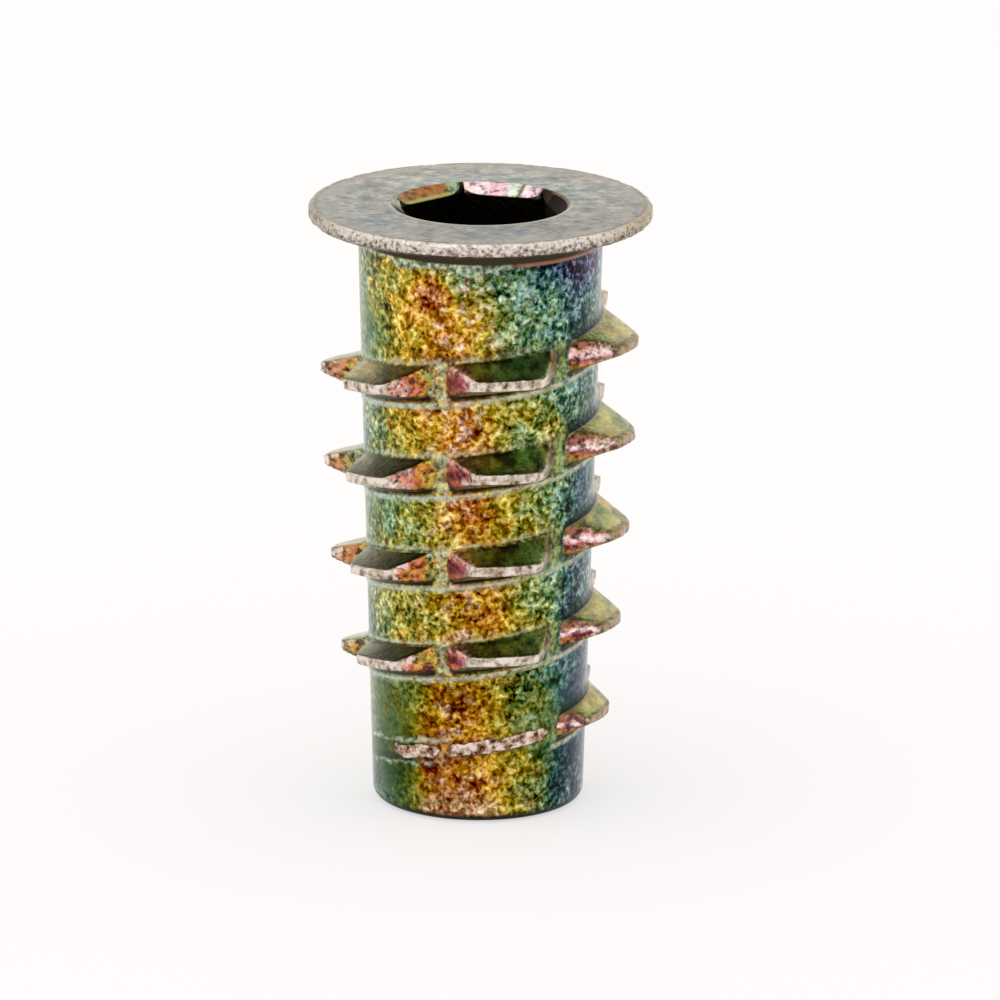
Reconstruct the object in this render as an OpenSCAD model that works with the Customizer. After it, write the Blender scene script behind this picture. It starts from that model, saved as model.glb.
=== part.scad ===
// Flanged hex-drive threaded insert for wood, one die-cast piece.
// A machine screw enters through the flange; the outside is a knife thread in six fins a turn.
// The foot stands on z = 0, the axis is +Z, and one column of fins faces -Y.

/* [Overall] */
// Length from the foot to the top of the flange
overall_length = 25; // [21:0.5:40]
// Diameter of the flange
flange_d = 14; // [12:0.1:20]
// Thickness of the flange
flange_t = 0.6; // [0.5:0.1:2]
// Rounding of the flange's outer edges
flange_edge_r = 0.2; // [0.05:0.01:0.2]

/* [Body] */
// Diameter of the body where it meets the flange
body_top_d = 10; // [8.2:0.1:11.8]
// Diameter of the body at the foot, smaller so that the casting leaves its die
body_foot_d = 8.6; // [7:0.1:10.5]
// Rounding of the foot's outer edge
foot_edge_r = 0.5; // [0.1:0.1:0.8]
// Fillet between the body and the flange
neck_fillet_r = 0.25; // [0.1:0.05:0.8]

/* [Hex socket] */
// Width across the flats of the socket
hex_af = 6; // [4:0.1:7.2]
// Depth of the socket from the flange's top
hex_depth = 7; // [4:0.5:12]
// Turn of the socket's corners from the middle of a column of fins
hex_turn = 2; // [0:1:59]
// Width of the bevel that opens the mouth, beyond the flats on each side
mouth_bevel_w = 0.6; // [0.3:0.05:0.8]
// Depth of the mouth's bevel
mouth_bevel_h = 0.45; // [0.2:0.05:1]

/* [Screw hole] */
// Diameter of the hole that carries the machine screw's thread
screw_hole_d = 5; // [3.2:0.1:6]
// Bevel where the screw hole leaves the foot
foot_bevel = 0.5; // [0.1:0.1:0.7]

/* [Wood thread] */
// Diameter over the crests of the uppermost fins
thread_d = 13.3; // [12.2:0.1:16]
// Drop in crest radius from the uppermost fins to the lowest whole ones
thread_taper = 1.35; // [0:0.05:1.4]
// Rise in one turn
pitch = 3.914; // [3:0.001:5]
// Fins in one turn
fins_per_turn = 6; // [4:1:8]
// Height of the middle of the lowest fin
first_fin_z = 2.65; // [2:0.05:4]
// Bare length of body between the last fin and the flange
bare_neck = 4.1; // [3:0.1:6]
// Width of the crest
crest_w = 0.34; // [0.2:0.02:0.6]
// Angle of each flank to the plane across the axis
flank_angle = 17; // [10:1:22]
// Angle of bare body between the roots of two fins
fin_gap = 3; // [2:1:12]
// Slant of a fin's end faces to the middle of the fin
fin_end_slant = 24; // [0:1:35]
// Height of the flare at the root of each flank
root_flare = 0.15; // [0.05:0.05:0.3]
// Lowest fins that are sheared off near the body
sheared_fins = 2; // [0:1:4]
// Height that a sheared fin keeps
sheared_height = 0.12; // [0.05:0.01:0.3]
// Width of a sheared fin where it broke
sheared_width = 0.6; // [0.3:0.05:1.1]

/* [Hidden] */
$fn = 96;
zinc_color = [0.53, 0.52, 0.33];
cut_over = 1;
fin_embed = 0.35;
end_embed = 0.1;

flange_r = flange_d / 2;
neck_top = overall_length - flange_t;
top_r = body_top_d / 2;
foot_r = body_foot_d / 2;
draft = atan((top_r - foot_r) / neck_top);
socket_floor = overall_length - hex_depth;
hex_r = hex_af / (2 * cos(30));

fin_rise = pitch / fins_per_turn;
fin_count = floor((neck_top - bare_neck - first_fin_z) / fin_rise) + 1;
last_fin_z = first_fin_z + (fin_count - 1) * fin_rise;
fin_half = 180 / fins_per_turn - fin_gap / 2;

function body_r(z) = foot_r + z * tan(draft);
function fin_z(n) = first_fin_z + n * fin_rise;
function taper_share(z) = (last_fin_z - z) / (last_fin_z - first_fin_z);
// The crests fall away towards the foot, slowly at first, so that the insert starts easily
function whole_crest_r(z) = thread_d / 2 - thread_taper * pow(taper_share(z), 2);
function crest_r(n) = n < sheared_fins ? body_r(fin_z(n)) + sheared_height : whole_crest_r(fin_z(n));
function crest_half_w(n) = (n < sheared_fins ? sheared_width : crest_w) / 2;
// Half the thickness that fin n has at radius r
function fin_half_w(n, r) = crest_half_w(n) + (crest_r(n) - r) * tan(flank_angle);

// Body and flange, turned about the axis
module turned_blank() {
    round_x = foot_r + foot_edge_r * (tan(draft) - 1 / cos(draft));
    fillet_x = body_r(neck_top - neck_fillet_r) + neck_fillet_r / cos(draft);
    rotate_extrude() {
        polygon([
            [0, 0],
            [round_x, 0],
            [round_x, foot_edge_r],
            [round_x + foot_edge_r * cos(draft), foot_edge_r * (1 - sin(draft))],
            [top_r, neck_top],
            [0, neck_top]
        ]);
        translate([round_x, foot_edge_r]) circle(r = foot_edge_r);
        difference() {
            translate([top_r - neck_fillet_r, neck_top - neck_fillet_r])
                square([fillet_x - top_r + neck_fillet_r, neck_fillet_r]);
            translate([fillet_x, neck_top - neck_fillet_r]) circle(r = neck_fillet_r);
        }
        flange_profile();
    }
}

module flange_profile() {
    round_x = flange_r - flange_edge_r;
    translate([0, neck_top]) square([round_x, flange_t]);
    translate([round_x, neck_top + flange_edge_r]) square([flange_edge_r, flange_t - 2 * flange_edge_r]);
    for (z = [neck_top + flange_edge_r, overall_length - flange_edge_r])
        translate([round_x, z]) circle(r = flange_edge_r);
}

// Fin n of the wood thread, counted upwards along the helix
module fin(n) {
    z = fin_z(n);
    root = body_r(z);
    crest = crest_r(n);
    crest_half = crest_half_w(n);
    flare_r = root + min(root_flare, (crest - root) / 2);
    flare_half = fin_half_w(n, flare_r);
    inner_r = root - fin_embed;
    inner_half = flare_half + flare_r - inner_r;
    lead = atan(pitch / (PI * (root + crest)));
    rotate([0, 0, (n - 1) * 360 / fins_per_turn])
        translate([0, 0, z])
            rotate([0, -lead, 0])
                intersection() {
                    rotate_extrude()
                        polygon([
                            [inner_r, -inner_half],
                            [flare_r, -flare_half],
                            [crest, -crest_half],
                            [crest, crest_half],
                            [flare_r, flare_half],
                            [inner_r, inner_half]
                        ]);
                    fin_plan(root, crest);
                }
}

// A fin seen along the axis: it narrows outwards between slanted end faces, and again inside the body
module fin_plan(root, crest) {
    root_x = root * sin(fin_half);
    root_y = root * cos(fin_half);
    seat_x = root_x + end_embed * tan(fin_end_slant);
    seat_y = root_y - end_embed;
    inner_x = root_x - fin_embed;
    inner_y = root_y - fin_embed;
    outer_y = crest + cut_over;
    outer_x = max(root_x - (outer_y - root_y) * tan(fin_end_slant), 0.01);
    linear_extrude(2 * pitch, center = true)
        polygon([
            [-inner_x, -inner_y],
            [inner_x, -inner_y],
            [seat_x, -seat_y],
            [outer_x, -outer_y],
            [-outer_x, -outer_y],
            [-seat_x, -seat_y]
        ]);
}

module wood_thread() {
    for (n = [0 : fin_count - 1]) fin(n);
}

// Hex socket, screw hole and their bevels, as one cutting tool
module drive_and_screw_hole() {
    hole_r = screw_hole_d / 2;
    translate([0, 0, -cut_over]) cylinder(h = socket_floor + cut_over, r = hole_r);
    translate([0, 0, socket_floor])
        rotate([0, 0, hex_turn - 90]) cylinder(h = hex_depth + cut_over, r = hex_r, $fn = 6);
    translate([0, 0, overall_length - mouth_bevel_h])
        cylinder(h = 2 * mouth_bevel_h, r1 = hex_af / 2, r2 = hex_af / 2 + 2 * mouth_bevel_w);
    translate([0, 0, -foot_bevel]) cylinder(h = 2 * foot_bevel, r1 = hole_r + 2 * foot_bevel, r2 = hole_r);
}

module insert_body() {
    color(zinc_color)
        difference() {
            union() {
                turned_blank();
                wood_thread();
            }
            drive_and_screw_hole();
        }
}

insert_body();
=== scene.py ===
import math
import bmesh
import bpy
from mathutils import Matrix, Vector, noise


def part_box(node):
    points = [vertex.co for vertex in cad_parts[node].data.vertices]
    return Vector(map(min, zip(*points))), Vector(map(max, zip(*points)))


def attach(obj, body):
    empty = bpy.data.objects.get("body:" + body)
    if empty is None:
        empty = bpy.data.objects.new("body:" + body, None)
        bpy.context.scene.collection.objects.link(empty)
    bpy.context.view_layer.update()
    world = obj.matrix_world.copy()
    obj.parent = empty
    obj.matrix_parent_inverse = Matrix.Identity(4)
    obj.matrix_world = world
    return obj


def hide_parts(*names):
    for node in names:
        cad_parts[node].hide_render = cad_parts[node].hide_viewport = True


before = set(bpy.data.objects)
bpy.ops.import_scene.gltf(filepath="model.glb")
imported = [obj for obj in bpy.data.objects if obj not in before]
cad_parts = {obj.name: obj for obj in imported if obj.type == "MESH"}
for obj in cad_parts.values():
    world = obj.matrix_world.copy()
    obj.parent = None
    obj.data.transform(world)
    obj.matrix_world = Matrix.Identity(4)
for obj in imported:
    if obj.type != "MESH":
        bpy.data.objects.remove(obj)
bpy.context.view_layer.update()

mm = 0.001
low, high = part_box("insert_body")
overallLength = (high.z - low.z) / mm
flangeRadius = (high.x - low.x) / 2 / mm
print("frame loaded:", round(overallLength, 3), "mm long, flange radius", round(flangeRadius, 3))

# sizes in millimetres, angles in degrees
body = {
    "footRadius": 4.3,
    "neckRadius": 5.0,
    "flangeThickness": 0.6,
    "footRounding": 0.5,
    "neckFillet": 0.25,
    "rimRounding": 0.2,
    "columns": 180,  # round the axis, a whole number for each fin
}
neckTop = overallLength - body["flangeThickness"]
draft = (body["neckRadius"] - body["footRadius"]) / neckTop  # mm of radius for each mm of height

woodThread = {
    "Pitch": 3.914,
    "Fins Per Turn": 6.0,
    "First Fin Height": 2.65,
    "Fin Count": 28.0,
    "Crest Radius": 6.65,
    "Taper": 1.35,
    "Crest Width": 0.34,
    "Flank Angle": 17.0,
    "Fin Gap": 3.0,
    "End Bow": 2.8,  # degrees that an end stands back at the foot of each flank
    "Edge Rounding": 0.06,
    "Crest Rounding": 0.35,
    "Root Fillet": 0.14,
    "Root Shift": 0.07,
    "Pad Height": 0.045,
    "Pad Above": 0.22,
    "Pad Below": 0.4,
    "Sheared Pad": 0.1,
    "Sheared Fins": 2.0,
    "Sheared Height": 0.14,
    "Sheared Width": 0.6,
}
rowsPerPitch = 48
mergeGap = 0.002 * mm  # points closer than this become one
# what differs from column to column, from the lowest fin's: left, front, right, back right, back, back left
finColumns = {
    "crestLift": [0.0, -0.04, -0.07, -0.22, 0.02, 0.0],  # mm, at the middle of the crest
    "crestTilt": [-0.03, -0.15, -0.2, -0.1, -0.15, 0.06],  # mm, over 13 degrees
    "startTrim": [0.0, 0.0, 1.8, 0.0, 0.0, 0.0],  # degrees
    "startSlant": [27.0, 21.6, 24.0, 38.0, 21.6, 26.0],  # degrees
    "endSlant": [27.0, 21.6, 26.0, 26.0, 21.6, 19.0],
    "startCorner": [0.8, 0.5, 0.9, 0.6, 0.6, 0.8],  # mm of height over which a crest turns into an end
    "endCorner": [0.5, 1.3, 1.2, 0.8, 0.6, 0.7],
}

socket = {
    "acrossFlats": 6.0,
    "depth": 7.0,
    "turn": 2.0,
    "bevelDepth": 0.42,
    "mouthRadius": 3.6,
}

screwThread = {
    "Pitch": 1.0,
    "Crest Radius": 2.5,
    "Root Radius": 2.95,
    "Foot Bevel": 0.5,
}

# where the rings of points go that aren't given by the sizes above
castingRings = {
    "neckEnd": 5.6,
    "underside": (5.9, 6.2, 6.45, 6.65),
    "rimStep": 0.05,
    "top": (6.65, 6.5, 6.3, 6.0, 5.6, 5.2, 4.8, 4.5),
    "lip": ((0.7, 0), (0.4, 0), (0.1, 0), (0.05, 0.006), (0.01, 0.02)),  # outside the mouth, below the top
    "lipDrop": 0.025,
    "bevelShares": (0.88, 0.6, 0.3, 0.06, 0),  # 1 at the lip, 0 at the walls
    "cornerClimb": 0.8,  # share of the bevel's depth that is lost at the socket's corners
    "wallEdge": 0.04,
    "walls": (24.3, 23.5, 22, 20, 18),
    "footSeat": 3.4,
}
# how the crests, the rim and the broken fins crumble
crumbling = {
    "coarseScale": 1.9 / mm,  # features a metre
    "fineScale": 4.3 / mm,
    "coarseDepth": 0.05,
    "fineDepth": 0.045,
    "lift": 0.015,
    "crestStart": 0.8,  # share of a fin's height
    "crestRise": 8,
    "rimStart": 6.6,
    "rimRise": 4,
    "rimDrop": 0.3,
}


def linear(hexColour):
    channels = [int(hexColour[i:i + 2], 16) / 255 for i in (1, 3, 5)]
    return [c / 12.92 if c <= 0.04045 else ((c + 0.055) / 1.055) ** 2.4 for c in channels] + [1.0]


def addNode(tree, kind, settings=None, links=None):
    # settings are properties; links are sockets, each fed by another socket or a plain value
    node = tree.nodes.new(kind)
    for name, value in (settings or {}).items():
        if name != "stops":
            setattr(node, name, value)
            continue
        elements = node.color_ramp.elements
        while len(elements) < len(value):
            elements.new(0.5)
        for element, (place, colour) in zip(elements, value):
            element.position = place
            element.color = linear(colour) if isinstance(colour, str) else (colour, colour, colour, 1.0)
    for name, source in (links or {}).items():
        if isinstance(source, bpy.types.NodeSocket):
            tree.links.new(source, node.inputs[name])
        else:
            node.inputs[name].default_value = source
    return node


# short names for the steps of a node table: the node, its settings, the inputs for its terms, its result
fadeInputs = ("Value", "From Min", "From Max", "To Min", "To Max")
noiseInputs = ("Vector", "Scale", "Detail", "Roughness")
stepKinds = {
    "NOISE": ("ShaderNodeTexNoise", {}, noiseInputs, "Fac"),
    "SCATTER": ("ShaderNodeTexNoise", {}, noiseInputs, "Color"),
    "CELLS": ("ShaderNodeTexVoronoi", {}, ("Vector", "Scale"), "Color"),
    "FADE": ("ShaderNodeMapRange", {"interpolation_type": "SMOOTHSTEP"}, fadeInputs, "Result"),
    "SPREAD": ("ShaderNodeMapRange", {}, fadeInputs, "Result"),
    "PAINT": ("ShaderNodeMix", {"data_type": "RGBA"}, (0, 6, 7), 2),
    "LEVEL": ("ShaderNodeMath", {"operation": "MULTIPLY_ADD", "use_clamp": True}, (0, 1, 2), 0),
    "JOIN": ("ShaderNodeCombineXYZ", {}, ("X", "Y", "Z"), "Vector"),
    "REACH": ("ShaderNodeVectorMath", {"operation": "DISTANCE"}, (0, 1), "Value"),
    "GAMMA": ("ShaderNodeGamma", {}, ("Color", "Gamma"), "Color"),
    "RAMP": ("ShaderNodeValToRGB", {}, ("Fac",), "Color"),
    "MASK": ("ShaderNodeAttribute", {}, (), "Fac"),
    "EDGEON": ("ShaderNodeLayerWeight", {}, ("Blend",), "Facing"),
}
vectorSums = {"TINT": "MULTIPLY", "SHIFT": "MULTIPLY_ADD", "MOVE": "ADD", "ATLEAST": "MAXIMUM"}
for action, operation in vectorSums.items():
    stepKinds[action] = ("ShaderNodeVectorMath", {"operation": operation}, (0, 1, 2), "Vector")


def addStep(tree, known, action, *terms):
    # a term is an earlier result, a colour, a number or a step of its own
    if action == "PICK":
        column, values = terms
        step = addNode(tree, "GeometryNodeIndexSwitch", {"data_type": "FLOAT"}, {0: known[column]})
        while len(step.index_switch_items) < len(values):
            step.index_switch_items.new()
        for i, value in enumerate(values):
            step.inputs[i + 1].default_value = value
        return step.outputs[0]
    if action == "PRODUCT":
        product, *others = terms
        for other in others:
            product = addStep(tree, known, "MULTIPLY", product, other)
        return product
    sums = ("ShaderNodeMath", {"operation": action}, (0, 1, 2), 0)  # for an action without a short name
    kind, settings, inputs, output = stepKinds.get(action, sums)
    if action == "RAMP":
        settings = {"stops": terms[-1]}
    if action == "MASK":
        settings = {"attribute_name": terms[0]}
    links = {}
    for socketName, term in zip(inputs, terms):
        if isinstance(term, tuple) and isinstance(term[0], str):
            term = addStep(tree, known, *term)
        elif isinstance(term, str) and term.startswith("#"):
            term = linear(term)[:3] if action == "TINT" else linear(term)
        elif isinstance(term, str):
            term = known[term]
        links[socketName] = term
    return addNode(tree, kind, settings, links).outputs[output]


def addSteps(tree, known, steps):
    # a step is the name of its result, what it does and its terms
    for result, *step in steps:
        if step[0] == "SPLIT":
            parts = addNode(tree, "ShaderNodeSeparateXYZ", None, {"Vector": known[step[1]]})
            known.update({result + axis: parts.outputs[axis] for axis in "XYZ"})
        else:
            known[result] = addStep(tree, known, *step)


# what the thread tree stores on each point for the finish, 0 to 1
finMasks = ["finShare", "brokenShare", "endFace", "padRim", "darkRoot", "gapStrip", "shadeStrip", "aboveFin"]

# thickness of the chromate film, 0 thin to 1 thick: round the casting, at seven heights in mm
filmBearings = [-180, -140, -100, -81, -64, -48, -33, -18, -4, 11, 26, 40, 54, 70, 100, 140, 180]
filmLevels = {
    1.7: [.30, .50, .60, .62, .64, .50, .16, .16, .26, .34, .52, .80, .86, .82, .50, .30, .30],
    5.4: [.40, .45, .50, .56, .56, .42, .18, .26, .36, .50, .60, .78, .90, .82, .60, .35, .40],
    9.2: [.55, .35, .45, .50, .46, .42, .38, .22, .26, .46, .56, .80, .82, .75, .55, .50, .55],
    13.1: [.45, .30, .50, .58, .60, .50, .33, .17, .30, .44, .54, .70, .80, .72, .50, .35, .45],
    17.0: [.30, .35, .55, .57, .48, .33, .24, .16, .36, .50, .48, .66, .72, .70, .55, .40, .30],
    21.0: [.40, .50, .55, .54, .44, .28, .18, .28, .50, .62, .66, .74, .72, .66, .60, .45, .40],
    23.4: [.45, .55, .50, .50, .42, .34, .36, .55, .62, .66, .82, .94, .94, .88, .60, .40, .45],
}
filmColours = [
    (0.00, "#8C4A1E"), (0.12, "#AA6518"), (0.24, "#B88812"), (0.36, "#A48E1E"), (0.47, "#868A38"),
    (0.58, "#6A8654"), (0.68, "#527A66"), (0.78, "#3E6468"), (0.88, "#2C4A5C"), (1.00, "#3E2F58"),
]
# patches: bearing, height and radius in mm, change
skinPatches = {
    "thinFilm": [
        (-35, 22.2, 1.1, -0.24), (-24, 20.8, 1.4, -0.1), (-38, 1.9, 0.7, -0.3), (-22, 0.9, 1.6, -0.1),
        (-14, 13.2, 1.2, -0.12), (50, 24.2, 1.0, 0.25), (-100, 8.0, 3.0, 0.2), (160, 12.0, 4.0, 0.25)],
    "gloom": [
        (-64, 1.8, 3.8, -0.17), (-42, 2.0, 2.4, -0.08), (28, 1.8, 3.4, -0.12), (52, 3.0, 3.6, -0.06),
        (-44, 5.0, 3.2, -0.12), (-8, 5.4, 3.6, -0.1), (30, 5.4, 2.8, -0.05), (-80, 13.5, 2.0, 0.04),
        (-66, 17.0, 3.0, 0.1), (-64, 9.2, 2.6, 0.08), (-60, 21.5, 2.4, 0.06), (24, 23.4, 2.0, -0.17),
        (-15, 20.8, 2.6, 0.05), (50, 9.5, 2.6, -0.06), (50, 13.5, 2.6, -0.04), (48, 17.5, 2.4, -0.03),
        (-78, 5.4, 2.6, -0.08), (2, 9.2, 2.0, -0.07), (-8, 13.1, 2.0, -0.04)],
    "smoothSkin": [
        (-66, 2.2, 3.8, 0.85), (-76, 5.2, 3.0, 0.6), (48, 4.0, 4.0, 0.75), (-84, 13.0, 2.6, 0.4),
        (75, 14.0, 3.0, 0.4), (120, 18.0, 4.0, 0.5), (-82, 20.5, 2.4, 0.6)],
    "wornFoot": [
        (-36, 0.55, 1.0, 1.0), (-24, 0.45, 1.0, 1.0), (-12, 0.6, 1.0, 0.9), (0, 0.4, 0.8, 0.7),
        (-20, 1.35, 0.6, 0.6), (18, 0.7, 0.7, 0.5)],
}


def patchSteps(result, patches):
    # each patch fades out from its middle on the body's surface
    steps = []
    total = 0.0
    for bearing, height, size, change in patches:
        away = body["footRadius"] + draft * height
        turned = math.radians(bearing)
        centre = (away * math.sin(turned) * mm, -away * math.cos(turned) * mm, height * mm)
        steps += [("away", "REACH", "warped", centre),
                  ("share", "FADE", "away", 0.0, size * mm, change, 0.0),
                  (result, "ADD", total, "share")]
        total = result
    return steps


def filmSteps():
    steps = []
    below = None
    for height, row in sorted(filmLevels.items()):
        level = "film" if below is None else "level"
        steps.append((level, "RAMP", "warpedTurn", [(b / 360 + 0.5, v) for b, v in zip(filmBearings, row)]))
        if below is not None:
            steps += [("share", "FADE", "warpedHeight", below, height),
                      ("film", "PAINT", "share", "film", "level")]
        below = height
    return steps


# the scale of a noise is its features in a millimetre, over mm
grainSteps = [
    # curly ridges of the cast skin about 0.2 mm apart, over clusters of 0.7 mm; its finest grit, about
    # 0.03 mm, is too fine to show in the render, so it is drawn as coarse as these ridges
    ("bent", "SHIFT", ("SCATTER", "place", 2.6 / mm, 1.0, 0.5), (0.22 * mm,) * 3, "place"),
    ("worms", "NOISE", "bent", 4.7 / mm, 1.5, 0.55),
    ("wormShare", "SPREAD", "worms", 0.33, 0.67, -0.5, 0.5),
    ("cells", "CELLS", "bent", 6.2 / mm),
    ("cells", "SPLIT", "cells"),
    ("clusters", "NOISE", "place", 1.5 / mm, 2.0, 0.6),
    ("clusterShare", "SPREAD", "clusters", 0.3, 0.7, -0.5, 0.5),
    ("blotch", "NOISE", "place", 0.62 / mm, 3.0, 0.6),
    ("tint", "NOISE", "place", 2.3 / mm, 2.0, 0.6),
    ("speckNoise", "NOISE", "place", 4.6 / mm, 2.0, 0.7),
]
bodySteps = [
    ("filmBlotched", "MULTIPLY_ADD", "blotch", 0.5, ("ADD", "film", "thinFilm")),
    ("roughShare", "SUBTRACT", 1.0, "smoothSkin"),
    ("tintHere", "MULTIPLY", ("SUBTRACT", "tint", 0.5), "roughShare"),
    ("filmFlecked", "MULTIPLY_ADD", "cellsY", 0.06, ("MULTIPLY_ADD", "tintHere", 0.34, "filmBlotched")),
    ("filmColour", "RAMP", ("SUBTRACT", "filmFlecked", 0.28), filmColours),
    # where gold turns to green the film breaks up into cream and brown flecks
    ("fleckWhere", "RAMP", "warpedTurn", [(0.37, 0.0), (0.42, 1.0), (0.46, 1.0), (0.51, 0.25), (0.6, 0.1)]),
    ("fleckNoise", "NOISE", "place", 1.7 / mm, 2.0, 0.6),
    ("creamPaint", "MULTIPLY", ("FADE", "fleckNoise", 0.5, 0.64, 0.0, 0.6), "fleckWhere"),
    ("brownPaint", "MULTIPLY", ("FADE", "fleckNoise", 0.46, 0.34, 0.0, 0.6), "fleckWhere"),
    ("withBrown", "PAINT", "brownPaint", ("PAINT", "creamPaint", "filmColour", "#B49684"), "#6E3E1E"),
    ("wearPaint", "MULTIPLY", "wornFoot", ("FADE", "fleckNoise", 0.4, 0.56, 0.1, 0.95)),
    # light and dark grain is an equal step to the eye, so it is added between two gammas
    ("grainWorms", "MULTIPLY_ADD", "wormShare", 0.52, ("MULTIPLY", ("SUBTRACT", "cellsX", 0.5), 0.3)),
    ("grain", "MULTIPLY", ("MULTIPLY_ADD", "clusterShare", 0.42, "grainWorms"), "roughShare"),
    ("toneChange", "MULTIPLY_ADD", "grain", 0.95, "gloom"),
    ("toned", "MOVE", ("GAMMA", ("PAINT", "wearPaint", "withBrown", "#D0AC84"), 1 / 2.2), "toneChange"),
    ("body", "GAMMA", ("ATLEAST", "toned", (0.02, 0.02, 0.02)), 2.2),
]
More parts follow.
